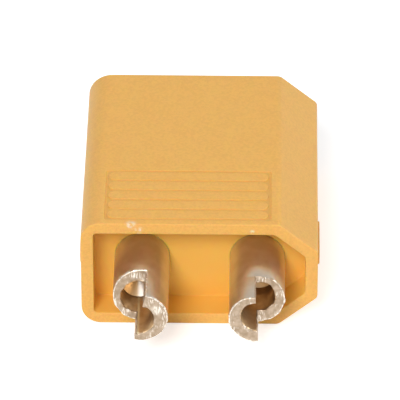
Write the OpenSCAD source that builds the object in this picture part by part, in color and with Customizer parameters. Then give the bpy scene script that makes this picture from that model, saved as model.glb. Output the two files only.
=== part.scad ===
// Two-pole battery connector, shrouded pin half, lying on its underside.
// X runs across the two contacts, +Y points out of the mating socket, +Z is up.
// The origin is the centre of the moulding's underside.
// All sizes are in millimetres.

/* [Housing] */
// Width across the two narrow sides, without the grip rails
housing_w = 10.25; // [9.8:0.05:12]
// Height from the underside to the top face
housing_h = 5.28; // [5:0.02:6.5]
// Length from the solder-side rim to the mating rim
housing_l = 11.6; // [11:0.1:15]
// Radius of the two long corners beside the positive contact
corner_r = 0.86; // [0.4:0.02:1.4]
// Width that each keying slope takes off the top and the underside
key_run = 1.68; // [1:0.02:2.2]
// Height that each keying slope takes off the narrow side
key_drop = 1.44; // [0.8:0.02:1.8]

/* [Solder recess] */
// Thickness of the rim around the recess
recess_wall = 0.54; // [0.4:0.02:0.7]
// Depth of the recess below the solder-side rim
recess_depth = 1.35; // [0.6:0.05:1.8]
// Radius left by the cutter in the recess corners
recess_r = 0.08; // [0.04:0.01:0.3]

/* [Mating socket] */
// Thickness of the shroud around the pins
socket_wall = 0.72; // [0.5:0.02:0.8]
// Depth of the socket below the mating rim
socket_depth = 6.2; // [5:0.1:6.6]
// Radius of the socket's two round corners
socket_r = 0.3; // [0.1:0.05:0.6]
// Lead-in chamfer around the socket's mouth
lead_in = 0.14; // [0.05:0.01:0.25]

/* [Finger grips] */
// Number of grip bars on each broad face
grip_bars = 5; // [3:1:6]
// Spacing of the grip bars along the housing
grip_pitch = 0.72; // [0.5:0.02:0.8]
// Width of the groove around each bar
groove_w = 0.12; // [0.08:0.01:0.2]
// Depth of the grooves
groove_depth = 0.1; // [0.05:0.01:0.16]
// Distance from the solder-side rim to the first groove
grip_start = 0.33; // [0.2:0.01:0.8]
// Distance from the round corner to the grip panel
grip_in_round = 0.16; // [0:0.02:0.6]
// Distance from the keying slope to the grip panel
grip_in_key = 0.36; // [0:0.02:0.8]
// Length of the rail on each narrow side
rail_l = 2.5; // [1.5:0.1:3.5]
// Height of the rail's face
rail_h = 1; // [0.5:0.1:1.6]
// How far the rail stands out
rail_proud = 0.08; // [0.04:0.01:0.2]
// Distance from the solder-side rim to the rail
rail_start = 1.2; // [0.4:0.1:2]

/* [Contacts] */
// Distance between the two contact axes
contact_pitch = 5; // [4.6:0.1:5.4]
// Diameter of the mating pins
pin_d = 2; // [1.6:0.05:2.2]
// Distance of the pin tips inside the mating rim
tip_setback = 0.6; // [0.3:0.05:1.2]
// Radius around the pin's tip
tip_r = 0.34; // [0.1:0.02:0.4]
// Width of the saw cuts that make the pin springy
slot_w = 0.3; // [0.2:0.02:0.36]
// Length of the saw cuts from the tip
slot_l = 4.2; // [3:0.1:4.8]

/* [Solder cups] */
// Outer diameter of the cup
cup_od = 2.4; // [2.2:0.05:2.8]
// Diameter of the bore that takes the wire
cup_id = 1.48; // [1.1:0.02:1.7]
// Length of the cup beyond the solder-side rim
cup_reach = 3.22; // [2.6:0.02:4.5]
// Length over which half of the positive cup's wall is cut away
notch_l_positive = 1.68; // [0.8:0.02:2]
// Length over which half of the negative cup's wall is cut away
notch_l_negative = 1.5; // [0.8:0.02:2]
// Lean of the positive cup's notch floor, back at the top
notch_lean_positive = 9; // [0:1:12]
// Lean of the negative cup's notch floor, back at the top
notch_lean_negative = 3; // [0:1:12]
// Depth of the positive cup's bore to the end of its full diameter
bore_depth_positive = 2.72; // [2.4:0.02:3.6]
// Depth of the negative cup's bore to the end of its full diameter
bore_depth_negative = 3.16; // [2.4:0.02:3.6]
// Point angle of the drill that made the bores
drill_angle = 118; // [90:1:140]
// How far the positive cup's bore runs off towards its notch
bore_side_positive = 0.09; // [-0.14:0.01:0.14]
// How far the positive cup's bore runs off upwards
bore_rise_positive = -0.12; // [-0.14:0.01:0.14]
// How far the negative cup's bore runs off towards its notch
bore_side_negative = 0.05; // [-0.14:0.01:0.14]
// How far the negative cup's bore runs off upwards
bore_rise_negative = 0.1; // [-0.14:0.01:0.14]
// Turn of the positive contact about its axis
turn_positive = 12; // [-20:1:20]
// Turn of the negative contact about its axis
turn_negative = -3; // [-20:1:20]

/* [Contact seats] */
// Length of the contact body held in the web
seat_l = 2.5; // [2.1:0.1:3]
// How much larger in radius than the pin the neck is where it leaves the shoulder
neck_step = 0.1; // [0.04:0.01:0.1]
// Number of barbs on the contact body
barbs = 2; // [1:1:2]
// Spacing of the barbs, and of the first from the recess floor
barb_pitch = 0.8; // [0.6:0.05:0.9]
// Height of a barb above the contact body
barb_h = 0.08; // [0.04:0.01:0.12]
// Length of a barb's ramp
barb_ramp = 0.45; // [0.3:0.05:0.5]
// Radial clearance between a contact and its seat
seat_gap = 0.02; // [0.01:0.01:0.04]

/* [Hidden] */
$fn = 96;
nylon = [0.93, 0.71, 0.36];
plating = [0.80, 0.77, 0.71];
cut_over = 0.5;
root = 0.2;
tip_steps = 6;
solder_y = -housing_l / 2;
axis_z = housing_h / 2;
socket_floor = housing_l - socket_depth;
pin_end = housing_l - tip_setback;
shoulder = recess_depth + seat_l;
cup_end = -cup_reach;
neck_back = [pin_d / 2 + neck_step, shoulder];
neck_front = [pin_d / 2, socket_floor];
seat_step = [seat_gap, 0];
bar_w = grip_pitch - groove_w;
panel_x0 = -housing_w / 2 + corner_r + grip_in_round;
panel_x1 = housing_w / 2 - key_run - grip_in_key;
panel_l = grip_bars * grip_pitch + groove_w;

// Ends of the keying slope on an outline drawn inset from the housing's own:
// [x on the flat face, height on the narrow side], both for the upper slope.
function key_ends(inset) =
    let(
        slope = norm([key_run, key_drop]),
        reach = key_drop * housing_w / 2 + key_run * (housing_h - key_drop) - inset * slope
    )
    [
        (reach - key_run * (housing_h - inset)) / key_drop,
        (reach - key_drop * (housing_w / 2 - inset)) / key_run
    ];

// Cross-section in X and Z: round corners on the left, keying slopes on the right.
module outline(inset, r) {
    left = -housing_w / 2 + inset;
    right = housing_w / 2 - inset;
    low = inset;
    high = housing_h - inset;
    flat_x = key_ends(inset)[0];
    side_z = key_ends(inset)[1];
    polygon([
        [left, low + r], [left + r, low],
        [flat_x, low], [right, housing_h - side_z],
        [right, side_z], [flat_x, high],
        [left + r, high], [left, high - r]
    ]);
    for (z = [low + r, high - r]) translate([left + r, z]) circle(r);
}

// Prism along Y between two distances from the solder-side rim.
module along(from, to) {
    translate([0, solder_y + to, 0]) rotate([90, 0, 0]) linear_extrude(to - from) children();
}

// Puts a shape whose axis is Z, measured from the solder-side rim, on a contact's axis.
module on_contact_axis(side) {
    translate([side * contact_pitch / 2, solder_y, axis_z]) rotate([-90, 0, 0]) children();
}

// Half profile of a contact's body between two stations: [radius, station] points.
function body_profile(from, to, grow) = [
    [cup_od / 2 + grow, from],
    for (i = [1 : barbs])
        let(foot = recess_depth + i * barb_pitch - barb_ramp)
        each [
            [cup_od / 2 + grow, foot],
            [cup_od / 2 + barb_h + grow, foot],
            [cup_od / 2 + grow, foot + barb_ramp]
        ],
    [cup_od / 2 + grow, to]
];

// Rounded nose of the pin, from its full diameter to its flat tip.
function nose_profile() = [
    for (i = [0 : tip_steps])
        let(a = 90 * i / tip_steps)
        [pin_d / 2 - tip_r + tip_r * cos(a), pin_end - tip_r + tip_r * sin(a)]
];

// Stadium shape with its length along X.
module bar(length, width) {
    translate([width / 2, 0]) square([length - width, width]);
    for (x = [width / 2, length - width / 2]) translate([x, width / 2]) circle(width / 2);
}

// Shallow pocket in a broad face, with the grip bars left standing in it.
module grip_grooves() {
    linear_extrude(groove_depth + cut_over) difference() {
        square([panel_x1 - panel_x0, panel_l]);
        for (i = [0 : grip_bars - 1])
            translate([groove_w, groove_w + i * grip_pitch])
                bar(panel_x1 - panel_x0 - 2 * groove_w, bar_w);
    }
}

// Oblong rail on a narrow side, rooted in the wall behind it.
module side_rail() {
    rotate([0, 90, 0]) linear_extrude(rail_proud + root)
        translate([-rail_h / 2, 0]) rotate(90) mirror([0, 1]) bar(rail_l, rail_h);
}

module rails() {
    for (side = [-1, 1])
        translate([side * (housing_w / 2 - root), solder_y + rail_start, axis_z])
            mirror([side < 0 ? 1 : 0, 0, 0]) side_rail();
}

// Hole through the web: barbed seat, shoulder, then the tapered hole for the neck.
module contact_seat() {
    over = [0, cut_over];
    rotate_extrude() polygon(concat(
        [[0, recess_depth - cut_over]],
        body_profile(recess_depth - cut_over, shoulder, seat_gap),
        [neck_back + seat_step, neck_front + seat_step],
        [neck_front + seat_step + over, [0, neck_front.y] + over]
    ));
}

// Socket with its lead-in chamfer.
module socket() {
    along(socket_floor, housing_l + cut_over) outline(socket_wall, socket_r);
    hull() {
        along(housing_l - lead_in, housing_l + cut_over) outline(socket_wall, socket_r);
        along(housing_l, housing_l + cut_over) outline(socket_wall - lead_in, socket_r + lead_in);
    }
}

module housing() {
    color(nylon) difference() {
        union() {
            along(0, housing_l) outline(0, corner_r);
            rails();
        }
        along(-cut_over, recess_depth) outline(recess_wall, recess_r);
        socket();
        for (side = [-1, 1]) on_contact_axis(side) contact_seat();
        translate([panel_x0, solder_y + grip_start, housing_h - groove_depth]) grip_grooves();
        translate([panel_x0, solder_y + grip_start, groove_depth])
            mirror([0, 0, 1]) grip_grooves();
    }
}

// Half of the cup's wall sawn away on the side of +X, down to a floor that may lean.
module cup_notch(length, lean) {
    block = cup_od + cut_over;
    translate([0, 0, cup_end + length]) rotate([-lean, 0, 0])
        translate([0, -block, -length - block]) cube([block, 2 * block, length + block]);
}

// Drilled bore, off the contact's axis by a step towards the notch and one upwards.
module wire_bore(depth, side, rise) {
    r = cup_id / 2;
    translate([side, -rise, cup_end - cut_over]) cylinder(h = depth + cut_over, r = r);
    translate([side, -rise, cup_end + depth])
        cylinder(h = r / tan(drill_angle / 2), r1 = r, r2 = 0);
}

// Two crossed saw cuts that split the pin into four springy leaves.
module pin_slots() {
    for (a = [45, 135]) rotate(a)
        translate([-slot_w / 2, -pin_d, pin_end - slot_l]) cube([slot_w, 2 * pin_d, slot_l + cut_over]);
}

// Turned blank of a contact: solder cup, barbed body, shoulder, neck and pin.
module contact_blank() {
    rotate_extrude() polygon(concat(
        [[0, cup_end]],
        body_profile(cup_end, shoulder, 0),
        [neck_back, neck_front],
        nose_profile(),
        [[0, pin_end]]
    ));
}

// A finished contact, with its notch on the side of +X.
module contact(turn, notch_l, notch_lean, bore_depth, bore_side, bore_rise) {
    rotate(turn) difference() {
        contact_blank();
        wire_bore(bore_depth, bore_side, bore_rise);
        cup_notch(notch_l, notch_lean);
        pin_slots();
    }
}

module contact_positive() {
    color(plating) on_contact_axis(-1) mirror([1, 0, 0]) contact(
        -turn_positive, notch_l_positive, notch_lean_positive,
        bore_depth_positive, bore_side_positive, bore_rise_positive
    );
}

module contact_negative() {
    color(plating) on_contact_axis(1) contact(
        turn_negative, notch_l_negative, notch_lean_negative,
        bore_depth_negative, bore_side_negative, bore_rise_negative
    );
}

housing();
contact_positive();
contact_negative();
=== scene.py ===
"""Looks of a two-pole battery connector, the shrouded pin half with its solder cups."""

import math

import bmesh
import bpy
from mathutils import Matrix, Vector, noise


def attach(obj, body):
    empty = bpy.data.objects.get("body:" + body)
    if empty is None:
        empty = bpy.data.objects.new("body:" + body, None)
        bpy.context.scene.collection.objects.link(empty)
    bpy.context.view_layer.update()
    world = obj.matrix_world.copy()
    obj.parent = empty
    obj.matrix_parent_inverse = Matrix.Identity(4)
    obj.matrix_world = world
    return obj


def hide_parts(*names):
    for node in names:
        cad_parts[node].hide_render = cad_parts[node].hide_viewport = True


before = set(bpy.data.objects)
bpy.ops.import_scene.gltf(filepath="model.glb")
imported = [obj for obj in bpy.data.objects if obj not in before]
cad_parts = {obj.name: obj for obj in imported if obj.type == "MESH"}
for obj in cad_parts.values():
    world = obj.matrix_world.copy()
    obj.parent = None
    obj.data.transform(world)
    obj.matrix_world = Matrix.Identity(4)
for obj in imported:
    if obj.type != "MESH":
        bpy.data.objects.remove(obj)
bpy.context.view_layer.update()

# The camera stands in front of the solder side, 35 degrees above the connector, with a long lens.
# Its place is in millimetres in the part's frame, as every size of the pieces below is.
MM = 0.001
camera_place = Vector((2.726, -184.414, 131.793))
camera_pitch = 0.61139
camera_yaw = 0.01511

camera = bpy.data.objects.new("camera", bpy.data.cameras.new("camera"))
camera.location = camera_place * MM
camera.rotation_euler = (math.pi / 2 - camera_pitch, 0, camera_yaw)
camera.data.sensor_width = 36
camera.data.lens = 458.52
camera.data.clip_start = 0.01
bpy.context.scene.collection.objects.link(camera)
bpy.context.scene.camera = camera


# The housing is one moulding in glass-filled nylon: a shroud with round corners on one side and
# keying slopes on the other, a recess round the solder cups, the web that holds the contacts, and
# the mating socket. Grip bars stand in a shallow pocket on both broad faces, rails on the sides.
housing_w = 10.25
housing_h = 5.28
housing_l = 11.6
corner_r = 0.86
corner_far_r = 1.08
key_run = 1.68
key_drop = 1.44
key_soft = 0.12
rim_soft = 0.045
recess_wall = 0.54
recess_depth = 1.35
recess_r = 0.16
socket_wall = 0.72
socket_depth = 6.2
socket_r = 0.3
lead_in = 0.14
grip_bars = 5
grip_pitch = 0.72
groove_w = 0.12
groove_depth = 0.06
groove_soft = 0.02
groove_lip = groove_soft * 1.2
panel_r = 0.1
grip_start = 0.33
grip_left = -4.105
grip_right = 3.085
rail_l = 2.5
rail_h = 1.0
rail_proud = 0.08
rail_start = 1.2
contact_pitch = 5.0
cup_od = 2.4
pin_d = 2.0
seat_gap = 0.02
seat_l = 2.5
neck_step = 0.1
barb_pitch = 0.8
barb_h = 0.08
barb_ramp = 0.45
solder_y = -housing_l / 2
axis_z = housing_h / 2
shoulder = recess_depth + seat_l
socket_floor = housing_l - socket_depth


def body_profile(grow):
    """Radius and station of a contact's body from the recess floor to the socket floor."""
    points = [(cup_od / 2 + grow * 0.2, recess_depth), (cup_od / 2 + grow, recess_depth + 0.05)]
    for barb in (1, 2):
        foot = recess_depth + barb * barb_pitch - barb_ramp
        points += [
            (cup_od / 2 + grow, foot),
            (cup_od / 2 + barb_h + grow, foot),
            (cup_od / 2 + grow, foot + barb_ramp),
        ]
    return points + [
        (cup_od / 2 + grow, shoulder),
        (pin_d / 2 + neck_step + grow, shoulder),
        (pin_d / 2 + grow, socket_floor),
    ]


def new_edges(mesh, before):
    """The edges that came to a mesh since the set of edges was taken."""
    return [edge for edge in mesh.edges if edge not in before]


def ring(mesh, corners, roundings, steps=6):
    """A closed loop of edges through the corners, each rounded over its own length."""
    before = set(mesh.edges)
    points = [mesh.verts.new(corner) for corner in corners]
    mesh.faces.new(points)
    for point, rounding in zip(points, roundings):
        bmesh.ops.bevel(
            mesh, geom=[point], offset=rounding, offset_type="OFFSET",
            affect="VERTICES", segments=steps, profile=0.5, material=-1,
        )
    loop = new_edges(mesh, before)
    bmesh.ops.delete(mesh, geom=loop[0].link_faces[:], context="FACES_ONLY")
    return loop


def shift_loop(mesh, loop, way):
    """Moves a loop of edges."""
    bmesh.ops.translate(mesh, vec=way, verts=list({point for edge in loop for point in edge.verts}))


def loft(mesh, loops, axis):
    """Walls from each loop of edges to the next.

    The loops stand apart along the axis while they are joined, as loops in one plane can join crosswise.
    """
    for step, loop in enumerate(loops):
        shift_loop(mesh, loop, axis * (20 * step))
    for first, second in zip(loops, loops[1:]):
        bmesh.ops.bridge_loops(mesh, edges=first + second)
    for step, loop in enumerate(loops):
        shift_loop(mesh, loop, axis * (-20 * step))


def soften(mesh, loops, width, steps):
    """Rounds the edges of the loops."""
    bmesh.ops.bevel(
        mesh, geom=[edge for loop in loops for edge in loop], offset=width, offset_type="OFFSET",
        affect="EDGES", segments=steps, profile=0.5, material=-1,
    )


def largest_face(mesh, side):
    """The largest face that looks to a side."""
    mesh.normal_update()
    facing = [face for face in mesh.faces if abs(face.normal.dot(side)) > 0.99]
    outermost = max(face.calc_center_median().dot(side) for face in facing)
    flush = [face for face in facing if face.calc_center_median().dot(side) > outermost - 0.01]
    return max(flush, key=lambda face: face.calc_area())


def open_face(mesh, face, loops):
    """Fills a face again, round the loops that lie in it."""
    rim = face.edges[:]
    bmesh.ops.delete(mesh, geom=[face], context="FACES_ONLY")
    bmesh.ops.triangle_fill(
        mesh, edges=rim + [edge for loop in loops for edge in loop],
        use_beauty=True, use_dissolve=False,
    )


def key_ends(inset):
    """Where a keying slope meets the flat face and the narrow side, on an inset outline."""
    slope = math.hypot(key_run, key_drop)
    reach = key_drop * housing_w / 2 + key_run * (housing_h - key_drop) - inset * slope
    flat_x = (reach - key_run * (housing_h - inset)) / key_drop
    side_z = (reach - key_drop * (housing_w / 2 - inset)) / key_run
    return flat_x, side_z


def outline(mesh, inset, radius, station):
    """The housing's outline at a distance from the solder-side rim."""
    flat_x, side_z = key_ends(inset)
    y = solder_y + station
    left = -housing_w / 2 + inset
    right = housing_w / 2 - inset
    corners = [
        (left, y, inset), (flat_x, y, inset), (right, y, housing_h - side_z),
        (right, y, side_z), (flat_x, y, housing_h - inset), (left, y, housing_h - inset),
    ]
    return ring(mesh, corners, [radius] + [key_soft] * 4 + [radius], steps=12)


def turned(mesh, profile, centre, steps=96):
    """A surface turned about an axis along Y, from points of radius and station."""
    before = set(mesh.verts)
    points = [mesh.verts.new((centre + radius, solder_y + station, axis_z)) for radius, station in profile]
    edges = [mesh.edges.new(pair) for pair in zip(points, points[1:])]
    bmesh.ops.spin(
        mesh, geom=points + edges, cent=(centre, 0, axis_z), axis=(0, 1, 0),
        angle=2 * math.pi, steps=steps, use_merge=True,
    )
    return [point for point in mesh.verts if point not in before]


def loop_at(mesh, points, station):
    """The edges among the points that lie at a station."""
    near = {point for point in points if abs(point.co.y - solder_y - station) < 0.001}
    return [edge for edge in mesh.edges if edge.verts[0] in near and edge.verts[1] in near]


shell = bmesh.new()
stations = [
    outline(shell, recess_wall, recess_r, recess_depth),
    outline(shell, recess_wall, recess_r, 0),
    outline(shell, 0, corner_r, 0),
    outline(shell, 0, corner_far_r, housing_l),
    outline(shell, socket_wall - lead_in, socket_r + lead_in, housing_l),
    outline(shell, socket_wall, socket_r, housing_l - lead_in),
    outline(shell, socket_wall, socket_r, socket_floor),
]
loft(shell, stations, Vector((0, 1, 0)))
for end_loop in (stations[0], stations[-1]):
    bmesh.ops.contextual_create(shell, geom=end_loop)
soften(shell, stations, rim_soft, 3)

floors = [
    max(
        (face for face in shell.faces if abs(face.calc_center_median().y - solder_y - station) < 0.01),
        key=lambda face: face.calc_area(),
    )
    for station in (recess_depth, socket_floor)
]
seats = [turned(shell, body_profile(seat_gap), side * contact_pitch / 2) for side in (-1, 1)]
for floor_face, station in zip(floors, (recess_depth, socket_floor)):
    open_face(shell, floor_face, [loop_at(shell, seat, station) for seat in seats])


def bar_ring(mesh, length, width, grow, place):
    """A stadium outline, placed by a function of its length and width."""
    before = set(mesh.edges)
    half_l = length / 2 + grow
    half_w = width / 2 + grow
    corners = [(-half_l, -half_w), (half_l, -half_w), (half_l, half_w), (-half_l, half_w)]
    loop = ring(mesh, [place(*corner) for corner in corners], [half_w * 0.998] * 4)
    bmesh.ops.remove_doubles(mesh, verts=list({point for edge in loop for point in edge.verts}), dist=0.003)
    return new_edges(mesh, before)


def raised_bar(mesh, length, width, place, foot, top):
    """A bar with rounded edges; place puts a point of it at a height. Returns its foot's edge."""
    loops = [
        bar_ring(mesh, length, width, grow, lambda along, across: place(along, across, height))
        for grow, height in ((groove_lip, foot), (0, foot), (0, top))
    ]
    loft(mesh, loops, place(0, 0, top) - place(0, 0, foot))
    bmesh.ops.contextual_create(mesh, geom=loops[-1])
    soften(mesh, loops[1:], groove_soft, 2)
    return loops[0]


panel_l = grip_bars * grip_pitch + groove_w
bar_w = grip_pitch - groove_w
bar_l = grip_right - grip_left - 2 * groove_w
panel_x = (grip_left + grip_right) / 2
for face_side in (1, -1):
    face_z = axis_z + face_side * housing_h / 2
    pocket_z = face_z - face_side * groove_depth
    broad_face = largest_face(shell, Vector((0, 0, face_side)))
    bar_feet = []
    for bar in range(grip_bars):
        bar_y = solder_y + grip_start + groove_w + bar * grip_pitch + bar_w / 2
        bar_feet.append(raised_bar(
            shell, bar_l, bar_w,
            lambda along, across, height: Vector((panel_x + along, bar_y + across, height)),
            pocket_z, face_z,
        ))
    panel_loops = []
    for grow, height in ((-groove_lip, pocket_z), (0, pocket_z), (0, face_z), (groove_lip, face_z)):
        low_y = solder_y + grip_start - grow
        high_y = solder_y + grip_start + panel_l + grow
        corners = [
            (grip_left - grow, low_y, height), (grip_right + grow, low_y, height),
            (grip_right + grow, high_y, height), (grip_left - grow, high_y, height),
        ]
        panel_loops.append(ring(shell, corners, [panel_r + grow] * 4))
    loft(shell, panel_loops, Vector((0, 0, face_side)))
    soften(shell, panel_loops[1:3], groove_soft, 2)
    bmesh.ops.triangle_fill(
        shell, edges=panel_loops[0] + [edge for foot in bar_feet for edge in foot],
        use_beauty=True, use_dissolve=False,
    )
    open_face(shell, broad_face, [panel_loops[3]])

for rail_side in (-1, 1):
    wall_x = rail_side * housing_w / 2
    rail_y = solder_y + rail_start + rail_l / 2
    narrow_face = largest_face(shell, Vector((rail_side, 0, 0)))
    rail_foot = raised_bar(
        shell, rail_l, rail_h,
        lambda along, across, height: Vector((height, rail_y + along, axis_z + across)),
        wall_x, wall_x + rail_side * rail_proud,
    )
    open_face(shell, narrow_face, [rail_foot])


def finish_mesh(mesh, name):
    """Closes a bmesh, scales it to metres and makes it an object."""
    bmesh.ops.remove_doubles(mesh, verts=mesh.verts[:], dist=0.0005)
    bmesh.ops.recalc_face_normals(mesh, faces=mesh.faces[:])
    bmesh.ops.scale(mesh, vec=(MM, MM, MM), verts=mesh.verts[:])
    for face in mesh.faces:
        face.smooth = True
    for edge in mesh.edges:
        edge.smooth = edge.calc_face_angle(0) < math.radians(50)
    data = bpy.data.meshes.new(name)
    mesh.to_mesh(data)
    mesh.free()
    piece = bpy.data.objects.new(name, data)
    bpy.context.scene.collection.objects.link(piece)
    return piece


def even_shading(piece):
    """Lets the broad faces set the shading of the narrow roundings beside them."""
    weighted = piece.modifiers.new("even_shading", "WEIGHTED_NORMAL")
    weighted.mode = "FACE_AREA"
    weighted.weight = 50
    weighted.keep_sharp = True


class Value:
    """A number or colour that a node gives out; plain sums with it add Math nodes."""

    def __init__(self, finish, socket):
        self.finish = finish
        self.socket = socket

    def math(self, operation, *others):
        """This value and the others through a Math node."""
        return self.finish.node("ShaderNodeMath", {"operation": operation}, dict(enumerate((self, *others))))

    def __add__(self, other):
        return self.math("ADD", other)

    def __mul__(self, other):
        return self.math("MULTIPLY", other)

    def __sub__(self, other):
        return self.math("SUBTRACT", other)

    def __rsub__(self, other):
        return self.finish.node("ShaderNodeMath", {"operation": "SUBTRACT"}, {0: other, 1: self})

    __radd__ = __add__
    __rmul__ = __mul__


class Finish:
    """The nodes of one material, or of the world."""

    def __init__(self, owner, output_kind="ShaderNodeOutputMaterial"):
        owner.use_nodes = True
        self.owner = owner
        self.output_kind = output_kind
        self.tree = owner.node_tree
        self.tree.nodes.clear()

    def node(self, kind, settings=None, sockets=None, output=0):
        """Adds a node, sets it up, then feeds its sockets with numbers, colours or values."""
        made = self.tree.nodes.new(kind)
        for name, setting in (settings or {}).items():
            setattr(made, name, setting)
        for key, fed in (sockets or {}).items():
            socket = made.inputs[key] if isinstance(key, int) else next(
                entry for entry in made.inputs if key in (entry.identifier, entry.name)
            )
            if isinstance(fed, Value):
                self.tree.links.new(fed.socket, socket)
            else:
                socket.default_value = fed
        outputs = made.outputs
        found = outputs[output] if isinstance(output, int) else next(
            entry for entry in outputs if output in (entry.identifier, entry.name)
        )
        return Value(self, found)

    def place_in_mm(self, stretch=(1, 1, 1)):
        """The object's own coordinates in millimetres, each axis times a factor."""
        place = self.node("ShaderNodeTexCoord", output="Object")
        factors = tuple(1000 * factor for factor in stretch)
        return self.node("ShaderNodeVectorMath", {"operation": "MULTIPLY"}, {0: place, 1: factors})

    def cloud(self, place, scale, detail=2, roughness=0.5):
        """Soft noise from 0 to 1."""
        return self.node(
            "ShaderNodeTexNoise", {},
            {"Vector": place, "Scale": scale, "Detail": detail, "Roughness": roughness}, "Fac",
        )

    def apart(self, place, spot):
        """Distance of a place from a fixed spot."""
        return self.node("ShaderNodeVectorMath", {"operation": "DISTANCE"}, {0: place, 1: spot}, "Value")

    def axes(self, place, names="XYZ"):
        """The named coordinates of a place, each as a value."""
        return [self.node("ShaderNodeSeparateXYZ", {}, {"Vector": place}, axis) for axis in names]

    def ramp(self, value, low, high):
        """0 on the side of low and 1 on the side of high; low may be the larger of the two."""
        return self.node(
            "ShaderNodeMapRange", {"interpolation_type": "SMOOTHSTEP"},
            {"Value": value, "From Min": low, "From Max": high},
        )

    def blend(self, share, first, second):
        """A colour between two colours."""
        return self.node(
            "ShaderNodeMix", {"data_type": "RGBA"},
            {"Factor_Float": share, "A_Color": first, "B_Color": second}, "Result_Color",
        )

    def bump(self, height, strength, distance):
        """A normal that follows a height."""
        fed = {"Strength": strength, "Distance": distance, "Height": height}
        return self.node("ShaderNodeBump", {}, fed, "Normal")

    def show(self, shader):
        """Sends a shader to the output and returns the material or world."""
        output = self.tree.nodes.new(self.output_kind)
        self.tree.links.new(shader.socket, output.inputs["Surface"])
        return self.owner


nylon_tone = (0.97, 0.537, 0.141, 1)
nylon_deep = (0.905, 0.494, 0.126, 1)
# The colour of the painted shade in the recess.
nylon_recess_shade = (0.935, 0.515, 0.096, 1)
# The colour of the painted shade in the grooves.
nylon_groove_shade = (0.84, 0.47, 0.122, 1)
nylon_scuff = (0.98, 0.80, 0.55, 1)

nylon = Finish(bpy.data.materials.new("moulded_nylon"))
nylon_place = nylon.place_in_mm()
nylon_x, nylon_y, nylon_z = nylon.axes(nylon_place)
nylon_rise = (nylon_z - axis_z).math("ABSOLUTE")
mottle = nylon.cloud(nylon_place, 1.3, 3)
grain = nylon.cloud(nylon_place, 9, 3, 0.6)
fibres = nylon.cloud(nylon.place_in_mm((1, 0.25, 1)), 16, 2)
nylon_colour = nylon.blend(
    nylon.ramp(mottle * 0.2 + grain * 0.8, 0.38, 0.60), nylon_deep, nylon_tone,
)

# Painted shade: the recess's walls and floor get a deeper, more saturated colour than the outside, which
# ends out of sight inside the web.
recess_z = housing_h / 2 - recess_wall
recess_x = housing_w / 2 - recess_wall
slope_reach = key_ends(recess_wall)[0] * key_drop + recess_z * key_run
recess_shade_mask = nylon.ramp(nylon_rise, recess_z + 0.05, recess_z + 0.02)
recess_shade_mask *= nylon.ramp(nylon_x.math("ABSOLUTE"), recess_x + 0.05, recess_x + 0.02)
recess_shade_mask *= nylon.ramp(
    nylon_x * key_drop + nylon_rise * key_run,
    slope_reach + 0.08 * key_run, slope_reach + 0.04 * key_run,
)
recess_shade_mask *= nylon.ramp(nylon_y, solder_y, solder_y + 0.04) * nylon.ramp(nylon_y, -3.0, -3.2)
nylon_colour = nylon.blend(recess_shade_mask, nylon_colour, nylon_recess_shade)

# Painted shade darkens the grooves between the grip bars.
panel_y = solder_y + grip_start + panel_l / 2
groove_floor = housing_h / 2 - groove_depth
groove_shade_mask = nylon.ramp((nylon_x - panel_x).math("ABSOLUTE"), (grip_right - grip_left) / 2 + 0.03, bar_l / 2)
groove_shade_mask *= nylon.ramp((nylon_y - panel_y).math("ABSOLUTE"), panel_l / 2 + 0.03, panel_l / 2)
groove_shade_mask *= nylon.ramp(nylon_rise, housing_h / 2 - 0.002, housing_h / 2 - 0.015)
groove_shade_mask *= nylon.ramp(nylon_rise, groove_floor - 0.10, groove_floor - 0.06)
nylon_colour = nylon.blend(groove_shade_mask, nylon_colour, nylon_groove_shade)

# Three scuffs lie on the solder-side rim, each given by its X, Z and size.
scuffs = 0
for scuff_x, scuff_z, size in ((-2.95, 5.24, 0.34), (-2.6, 4.95, 0.26), (2.28, 4.92, 0.16)):
    distance = nylon.apart(nylon_place, (scuff_x, solder_y, scuff_z))
    scuffs = nylon.ramp(distance, size, size * 0.2) + scuffs
scuffs *= nylon.ramp(nylon.cloud(nylon_place, 5, 3, 0.7), 0.40, 0.62)
nylon_colour = nylon.blend(scuffs, nylon_colour, nylon_scuff)

nylon_shader = nylon.node("ShaderNodeBsdfPrincipled", {}, {
    "Base Color": nylon_colour, "Roughness": nylon.ramp(grain, 0.0, 1.0) * 0.12 + 0.40,
    "IOR": 1.5, "Specular IOR Level": 0.25,
    "Subsurface Weight": 0.5, "Subsurface Radius": (1.0, 0.35, 0.06), "Subsurface Scale": 0.2 * MM,
    "Normal": nylon.bump(grain * 0.9 + fibres * 0.3 + mottle * 0.6, 0.45, 0.008 * MM),
})

housing = finish_mesh(shell, "housing_moulding")
even_shading(housing)
housing.data.materials.append(nylon.show(nylon_shader))
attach(housing, "root")
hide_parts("housing")


# Each contact is turned from brass bar and plated: a solder cup drilled for the wire, a barbed body
# pressed into the web, and a pin split by two saw cuts. A saw took half the cup's wall at its mouth,
# and left bare, rough faces with burrs along their edges.
cup_reach = 3.22
bore_r = 0.74
drill_angle = math.radians(118)
pin_end = housing_l - 0.6
tip_r = 0.34
slot_w = 0.3
slot_start = pin_end - 4.2
cut_soft = 0.05
burr_w = 0.09
burr_h = 0.05
saw_depth = 0.015
inner_chip = 0.035
outer_chip = 0.02
sharp_cut = 0.8
roll_clear = 0.15
roll_fade = 0.2
roll_curve = 1.3
roll_side = 0.8
half_steps = 60
wall_steps = 7
tongue_rows = 24
bore_rows = 8
cup_end = -cup_reach
plated_side, drilled_side, sawn_side = 0, 1, 2


def arc(mesh, centre, radius, start, sweep, steps, station):
    """An open chain of edges along an arc round the contact's axis."""
    before = set(mesh.edges)
    cent = (centre[0], centre[1], station)
    point = mesh.verts.new(Vector(cent) + Vector((math.cos(start), math.sin(start), 0)) * radius)
    bmesh.ops.spin(mesh, geom=[point], cent=cent, axis=(0, 0, 1), angle=sweep, steps=steps)
    return new_edges(mesh, before)


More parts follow.
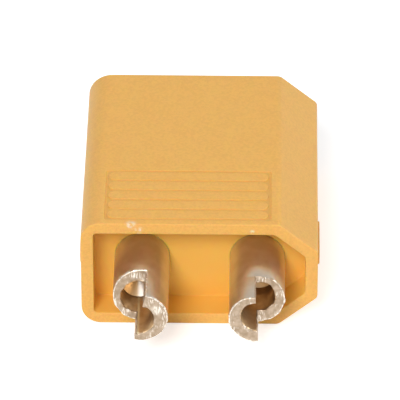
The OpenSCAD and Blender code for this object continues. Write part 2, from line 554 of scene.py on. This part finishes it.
def half_wall(mesh, outer, inner):
    """Fills between an outer and an inner arc, with rows of faces across the wall."""
    ends = {point for edge in outer for point in edge.verts}
    band = bmesh.ops.bridge_loops(mesh, edges=outer + inner)["faces"]
    across = [
        edge for edge in {edge for face in band for edge in face.edges}
        if (edge.verts[0] in ends) != (edge.verts[1] in ends)
    ]
    before = set(mesh.faces) - set(band)
    bmesh.ops.subdivide_edges(mesh, edges=across, cuts=wall_steps - 1, use_grid_fill=True)
    faces = [face for face in mesh.faces if face not in before]
    for face in faces:
        face.material_index = sawn_side
    return faces


def grow_loop(mesh, loop, place, side):
    """Draws a loop of edges out by one row of faces and moves the new points by a function."""
    drawn = bmesh.ops.extrude_edge_only(mesh, edges=loop)["geom"]
    points = [part for part in drawn if isinstance(part, bmesh.types.BMVert)]
    for point in points:
        point.co = place(point.co)
    for part in drawn:
        if isinstance(part, bmesh.types.BMFace):
            part.material_index = side
    fresh = set(points)
    return [
        part for part in drawn
        if isinstance(part, bmesh.types.BMEdge) and part.verts[0] in fresh and part.verts[1] in fresh
    ]


def boundary(faces):
    """The edges round a group of faces."""
    group = set(faces)
    edges = {edge for face in faces for edge in face.edges}
    return [edge for edge in edges if sum(face in group for face in edge.link_faces) == 1]


def off_axis(point, centre):
    """Distance of a point from an axis along Z."""
    return math.hypot(point.x - centre[0], point.y - centre[1])


def ring_place(centre, radius, station):
    """Moves points to a circle round an axis, at a station."""
    def place(co):
        way = Vector((co.x - centre[0], co.y - centre[1])).normalized() * radius
        return Vector((centre[0] + way.x, centre[1] + way.y, station))
    return place


def leaf_place(middle, before, after, station):
    """Moves a pin leaf's points from one radius to the next, and keeps its two sawn walls flat."""
    first = Vector((math.cos(middle - math.pi / 4), math.sin(middle - math.pi / 4)))
    second = Vector((-first.y, first.x))
    gap = slot_w / 2

    def place(co):
        across, along = co.xy.dot(first), co.xy.dot(second)
        if math.hypot(across, along) > 2 * gap:
            old_corner = math.asin(gap / before)
            new_corner = math.asin(gap / after)
            share = (math.atan2(along, across) - old_corner) / (math.pi / 2 - 2 * old_corner)
            angle = new_corner + share * (math.pi / 2 - 2 * new_corner)
            across, along = after * math.cos(angle), after * math.sin(angle)
        flat = first * across + second * along
        return Vector((flat.x, flat.y, station))
    return place


def half_cut_cup(mesh, notch_l, lean, bore_at):
    """The cup's mouth: the tongue on the side of -X, and the leaning notch floor on the side of +X."""
    open_angle = math.acos(-bore_at[0] / bore_r)
    half = math.pi
    tongue_end = half_wall(
        mesh,
        arc(mesh, (0, 0), cup_od / 2, half / 2, half, half_steps, cup_end),
        arc(mesh, bore_at, bore_r, open_angle, 2 * (half - open_angle), half_steps, cup_end),
    )
    loop = boundary(tongue_end)
    for row in range(1, tongue_rows + 1):
        share = row / tongue_rows
        loop = grow_loop(
            mesh, loop, lambda co: Vector((co.x, co.y, cup_end + share * (notch_l - co.y * lean))),
            plated_side,
        )
    floor_faces = half_wall(
        mesh,
        arc(mesh, (0, 0), cup_od / 2, -half / 2, half, half_steps, 0),
        arc(mesh, bore_at, bore_r, -open_angle, 2 * open_angle, half_steps, 0),
    )
    for point in {point for face in floor_faces for point in face.verts}:
        point.co.z = cup_end + notch_l - point.co.y * lean
    bmesh.ops.remove_doubles(mesh, verts=mesh.verts[:], dist=0.0005)
    for face in mesh.faces:
        middle = face.calc_center_median()
        if face.material_index == plated_side and abs(middle.x) < 0.001:
            face.material_index = sawn_side
        elif face.material_index == plated_side and off_axis(middle, bore_at) < bore_r + 0.01:
            face.material_index = drilled_side


def roll_over(mesh, notch_l, lean, drop, reach):
    """Draws the cup's outside in round the notch's upper corner, where the cut pulled it down.

    The dent fades over its reach behind the notch, and keeps its depth along the tongue.
    """
    for point in mesh.verts:
        behind = point.co.z - (cup_end + notch_l - point.co.y * lean)
        radius = off_axis(point.co, (0, 0))
        wall_share = (radius - bore_r - roll_clear) / roll_fade
        if behind < reach and wall_share > 0 and point.co.y < 0:
            share = (1 - max(0, behind) / reach) ** roll_curve * -point.co.y / radius
            share *= max(0, min(1, roll_side + point.co.x / radius)) * min(1, wall_share)
            point.co.x *= 1 - drop * share / radius
            point.co.y *= 1 - drop * share / radius


def roughen(mesh, bore_at, seed):
    """Saw marks on the cut faces, and burrs and chips along their edges."""
    shift = Vector((seed * 7.3, seed * 3.1, seed * 5.7))
    cut_points = {point for face in mesh.faces if face.material_index == sawn_side for point in face.verts}
    mesh.normal_update()
    for point in cut_points:
        looks = Vector((0, 0, 0))
        for face in point.link_faces:
            if face.material_index == sawn_side:
                looks += face.normal
        looks.normalize()
        outer_edge = max(0, 1 - abs(off_axis(point.co, (0, 0)) - cup_od / 2) / burr_w)
        inner_edge = max(0, 1 - abs(off_axis(point.co, bore_at) - bore_r) / burr_w)
        edge = max(outer_edge, inner_edge)
        spot = noise.noise((point.co + shift) * 2.6) + 0.5 * noise.noise((point.co + shift) * 7)
        marks = noise.noise((point.co + shift) * 9) + 0.6 * noise.noise((point.co + shift) * 21)
        lift = saw_depth * marks + burr_h * edge * max(0, spot) - burr_h * 0.6 * edge * max(0, -spot)
        inward = Vector((bore_at[0] - point.co.x, bore_at[1] - point.co.y, 0)).normalized()
        ragged = noise.noise((point.co - shift) * 5) + 0.5 * noise.noise((point.co - shift) * 13)
        chips = inner_edge * inner_chip * ragged + outer_edge * outer_chip * abs(ragged)
        point.co += looks * lift + inward * chips


def faces_at(mesh, station):
    """The faces that lie flat at a station."""
    return [face for face in mesh.faces if all(abs(point.co.z - station) < 0.0001 for point in face.verts)]


def turned_contact(name, seat, notch_l, notch_lean, roll, bore_depth, bore_at, seed):
    """A contact with its notch on the side of +X, put in its seat by a matrix.

    It is turned about Z, with z = 0 at the housing's solder-side rim and the pin's nose at +Z.
    """
    mesh = bmesh.new()
    lean = math.tan(math.radians(notch_lean))
    half_cut_cup(mesh, notch_l, lean, bore_at)
    rims = [edge for edge in mesh.edges if len(edge.link_faces) == 1]
    outer_loop = [edge for edge in rims if off_axis(edge.verts[0].co, (0, 0)) > cup_od / 2 - 0.01]
    inner_loop = [edge for edge in rims if off_axis(edge.verts[0].co, bore_at) < bore_r + 0.01]

    start = cup_end + notch_l + abs(lean) * cup_od / 2 + 0.04
    bore_end = cup_end + bore_depth
    for row in range(bore_rows + 1):
        station = start + (bore_end - start) * row / bore_rows
        inner_loop = grow_loop(mesh, inner_loop, ring_place(bore_at, bore_r, station), drilled_side)
    for row in range(1, bore_rows + 1):
        radius = bore_r * (1 - row / bore_rows) + 0.0001
        station = bore_end + (bore_r - radius) / math.tan(drill_angle / 2)
        inner_loop = grow_loop(mesh, inner_loop, ring_place(bore_at, radius, station), drilled_side)

    stations = [start + ahead for ahead in (0, 0.08, 0.16, 0.26, 0.38, 0.5, 0.65, 0.8)]
    stations += [stations[-1] + (recess_depth - stations[-1]) * row / 4 for row in range(1, 4)]
    profile = [(cup_od / 2, station) for station in stations]
    profile += body_profile(0) + [(pin_d / 2, slot_start)]
    for radius, station in profile:
        outer_loop = grow_loop(mesh, outer_loop, ring_place((0, 0), radius, station), plated_side)

    bmesh.ops.contextual_create(mesh, geom=outer_loop)
    for angle in (math.pi / 4, 3 * math.pi / 4):
        across = Vector((math.cos(angle), math.sin(angle), 0))
        for wall in (-1, 1):
            disc = faces_at(mesh, slot_start)
            bmesh.ops.bisect_plane(
                mesh, geom=disc + list({part for face in disc for part in [*face.edges, *face.verts]}),
                plane_co=across * (wall * slot_w / 2), plane_no=across,
            )
    nose = [math.radians(15 * step) for step in range(7)]
    steps = [(pin_d / 2, pin_d / 2, pin_end - tip_r)]
    for low, high in zip(nose, nose[1:]):
        steps.append((
            pin_d / 2 - tip_r + tip_r * math.cos(low), pin_d / 2 - tip_r + tip_r * math.cos(high),
            pin_end - tip_r + tip_r * math.sin(high),
        ))
    disc = faces_at(mesh, slot_start)
    for quarter in range(4):
        middle = quarter * math.pi / 2
        way = Vector((math.cos(middle), math.sin(middle), 0))
        leaf = max(disc, key=lambda face: face.calc_center_median().dot(way))
        loop = leaf.edges[:]
        bmesh.ops.delete(mesh, geom=[leaf], context="FACES_ONLY")
        disc.remove(leaf)
        for before, after, station in steps:
            loop = grow_loop(mesh, loop, leaf_place(middle, before, after, station), plated_side)
        bmesh.ops.contextual_create(mesh, geom=loop)

    bmesh.ops.remove_doubles(mesh, verts=mesh.verts[:], dist=0.0005)
    bmesh.ops.recalc_face_normals(mesh, faces=mesh.faces[:])
    cut_edges = [
        edge for edge in mesh.edges
        if len({face.material_index for face in edge.link_faces}) > 1 and edge.calc_face_angle(0) > sharp_cut
    ]
    bmesh.ops.bevel(
        mesh, geom=cut_edges, offset=cut_soft, offset_type="OFFSET", affect="EDGES",
        segments=3, profile=0.5, material=sawn_side,
    )
    roll_over(mesh, notch_l, lean, *roll)
    roughen(mesh, bore_at, seed)
    bmesh.ops.transform(mesh, matrix=seat, verts=mesh.verts[:])
    contact = finish_mesh(mesh, name)
    even_shading(contact)
    for material in (plated_metal, drilled_metal, sawn_metal):
        contact.data.materials.append(material)
    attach(contact, "root")
    return contact


plated_deep = (0.575, 0.51, 0.42, 1)
plated_pale = (0.635, 0.575, 0.485, 1)
brass_deep = (0.72, 0.50, 0.27, 1)
brass_pale = (0.86, 0.65, 0.39, 1)
# Colours of the painted shade and painted reflection in the bores' far ends, and of the painted highlight
# streak.
deep_bore_shade_tone = (0.54, 0.385, 0.23, 1)
dark_cone_shade = (0.46, 0.325, 0.19, 1)
grey_cone_reflection = (0.50, 0.445, 0.39, 1)
bore_streak_highlight = (1.0, 0.90, 0.62, 1)
sawn_deep = (0.395, 0.29, 0.193, 1)
sawn_pale = (0.56, 0.435, 0.32, 1)
# The colour of the painted glints on the sawn faces, and the place of one painted glint spot.
sawn_glint_tone = (1.0, 0.93, 0.82, 1)
glint_spot = (-1.80, -9.02, 3.06)

plated = Finish(bpy.data.materials.new("plated_outside"))
tarnish = plated.cloud(plated.place_in_mm(), 1.6, 3)
plated_colour = plated.blend(plated.ramp(tarnish, 0.35, 0.65), plated_deep, plated_pale)
plated_shader = plated.node("ShaderNodeBsdfPrincipled", {}, {
    "Base Color": plated_colour, "Metallic": 0.9,
    "Roughness": plated.ramp(tarnish, 0.3, 0.7) * 0.03 + 0.28,
})
plated_metal = plated.show(plated_shader)

# The bores are bare brass, with painted shade darkening their far ends. The positive one's end has
# its painted shade darkest on the left and a greyer painted reflection on the right, and a painted highlight
# streak runs along its bottom up to there.
cone_y = -6.5
bore_x = -2.6
drilled = Finish(bpy.data.materials.new("drilled_bore"))
drilled_place = drilled.place_in_mm()
drilled_x, drilled_y, drilled_z = drilled.axes(drilled_place)
drill_rings = drilled.cloud(drilled.place_in_mm((1, 8, 1)), 1.8, 2)
in_cone = drilled.ramp(drilled_y, cone_y, cone_y + 0.25)
brass_patches = drilled.cloud(drilled_place, 2.2, 3)
drilled_colour = drilled.blend(drilled.ramp(brass_patches, 0.35, 0.65), brass_deep, brass_pale)
drilled_colour = drilled.blend(in_cone, drilled_colour, deep_bore_shade_tone)
left_cone_shade_mask = in_cone * drilled.ramp(drilled_x, bore_x + 0.02, bore_x - 0.10)
drilled_colour = drilled.blend(left_cone_shade_mask, drilled_colour, dark_cone_shade)
right_cone_reflection_mask = in_cone * drilled.ramp(drilled_x, bore_x - 0.12, bore_x + 0.02) * drilled.ramp(drilled_x, 0, -1)
drilled_colour = drilled.blend(right_cone_reflection_mask, drilled_colour, grey_cone_reflection)
painted_streak = drilled.ramp((drilled_x - bore_x).math("ABSOLUTE"), 0.08, 0.02) * drilled.ramp(drilled_z, 2.1, 2.0)
painted_streak *= 1 - in_cone
drilled_shader = drilled.node("ShaderNodeBsdfPrincipled", {}, {
    "Base Color": drilled.blend(painted_streak, drilled_colour, bore_streak_highlight),
    "Metallic": 1.0, "Roughness": drilled.ramp(drill_rings, 0.2, 0.8) * 0.06 + 0.32,
    "Normal": drilled.bump(drill_rings, 0.15, 0.002 * MM),
})
drilled_metal = drilled.show(drilled_shader)

# The sawn faces get painted highlights: near-white glints in patches that follow the saw lines, a painted
# highlight along each cup's outer edge, and one painted glint spot on the end of the positive tongue.
sawn = Finish(bpy.data.materials.new("sawn_faces"))
sawn_place = sawn.place_in_mm()
sawn_x, sawn_z = sawn.axes(sawn_place, "XZ")
sawn_radius = (
    (sawn_x.math("ABSOLUTE") - contact_pitch / 2).math("POWER", 2) + (sawn_z - axis_z).math("POWER", 2)
).math("SQRT")
saw_lines = sawn.cloud(sawn.place_in_mm((9, 1.5, 1.5)), 2.2, 3, 0.6)
saw_pits = sawn.cloud(sawn_place, 9, 3, 0.6)
saw_tone = sawn.blend(sawn.ramp(sawn.cloud(sawn_place, 4, 3), 0.3, 0.7), sawn_deep, sawn_pale)
glint_distance = sawn.apart(sawn_place, glint_spot)
sawn_glints = (
    sawn.ramp(sawn.cloud(sawn_place, 1.9, 2), 0.46, 0.58) * sawn.ramp(saw_lines, 0.50, 0.62)
    + sawn.ramp(glint_distance, 0.34, 0.08) * sawn.ramp(saw_pits, 0.25, 0.5) * 0.5
    + sawn.ramp(sawn_radius, cup_od / 2 - 0.07, cup_od / 2 - 0.03) * sawn.ramp(saw_pits, 0.35, 0.6)
).math("MINIMUM", 1)
sawn_shader = sawn.node("ShaderNodeBsdfPrincipled", {}, {
    "Base Color": sawn.blend(sawn_glints, saw_tone, sawn_glint_tone),
    "Metallic": 0.85, "Roughness": sawn.ramp(saw_pits, 0.2, 0.8) * 0.2 + 0.32,
    "Normal": sawn.bump(saw_lines * 0.6 + saw_pits * 0.4, 0.7, 0.01 * MM),
})
sawn_metal = sawn.show(sawn_shader)


def seat_matrix(side, turn, mirrored):
    """Turns a contact, mirrors it where needed, and lays its axis along +Y in its seat."""
    place = Matrix.Translation((side * contact_pitch / 2, solder_y, axis_z))
    place @= Matrix.Rotation(math.radians(-90), 4, "X")
    if mirrored:
        place @= Matrix.Scale(-1, 4, (1, 0, 0))
    return place @ Matrix.Rotation(math.radians(turn), 4, "Z")


positive = turned_contact(
    "contact_positive_turned", seat_matrix(-1, -12, True), 1.68, 9, (0.025, 0.4), 2.72, (0.09, 0.12), 1,
)
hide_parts("contact_positive")
negative = turned_contact(
    "contact_negative_turned", seat_matrix(1, -3, False), 1.5, 3, (0.10, 0.72), 3.16, (0.05, -0.1), 2,
)
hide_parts("contact_negative")


# The studio, in metres: a white sweep a hair below the underside, a large soft lamp at the upper
# left, a weaker one at the right, and light surroundings that the metal mirrors.
floor_mesh = bmesh.new()
bmesh.ops.create_grid(floor_mesh, x_segments=1, y_segments=1, size=1.5)
floor_data = bpy.data.meshes.new("studio_floor")
floor_mesh.to_mesh(floor_data)
floor_mesh.free()
studio_floor = bpy.data.objects.new("studio_floor", floor_data)
studio_floor.location.z = -0.02 * MM
bpy.context.scene.collection.objects.link(studio_floor)


def seen_directly(finish):
    """1 for camera, mirrored and transmitted rays, and 0 for the others."""
    seen = finish.node("ShaderNodeLightPath", output="Is Camera Ray")
    for kind_of_ray in ("Is Glossy Ray", "Is Transmission Ray"):
        seen = seen.math("MAXIMUM", finish.node("ShaderNodeLightPath", output=kind_of_ray))
    return seen


sweep = Finish(bpy.data.materials.new("white_sweep"))
sweep_paper = sweep.node("ShaderNodeBsdfDiffuse", {}, {"Color": (0.86, 0.86, 0.86, 1)})
sweep_glow = sweep.node("ShaderNodeEmission", {}, {"Color": (1, 1, 1, 1), "Strength": 0.55})
sweep_lit = sweep.node("ShaderNodeAddShader", {}, {0: sweep_paper, 1: sweep_glow})
sweep_shader = sweep.node("ShaderNodeMixShader", {}, {0: seen_directly(sweep), 1: sweep_paper, 2: sweep_lit})
floor_data.materials.append(sweep.show(sweep_shader))

sky = Finish(bpy.data.worlds.new("surroundings"), "ShaderNodeOutputWorld")
sky_dim = sky.node("ShaderNodeBackground", {}, {"Strength": 0.40})
sky_bright = sky.node("ShaderNodeBackground", {}, {"Strength": 1.0})
sky_shader = sky.node("ShaderNodeMixShader", {}, {0: seen_directly(sky), 1: sky_dim, 2: sky_bright})
bpy.context.scene.world = sky.show(sky_shader)


def soft_lamp(name, size, energy, place):
    """A round area lamp that looks at the connector."""
    lamp = bpy.data.objects.new(name, bpy.data.lights.new(name, "AREA"))
    lamp.data.shape = "DISK"
    lamp.data.size = size
    lamp.data.energy = energy
    lamp.location = place
    lamp.rotation_euler = (-lamp.location).to_track_quat("-Z", "Y").to_euler()
    bpy.context.scene.collection.objects.link(lamp)


soft_lamp("key_lamp", 0.22, 1.82, (-0.12, -0.385, 0.365))
soft_lamp("fill_lamp", 0.3, 0.88, (0.49, 0.08, 0.27))

bpy.context.scene.view_settings.view_transform = "Standard"
bpy.context.view_layer.update()
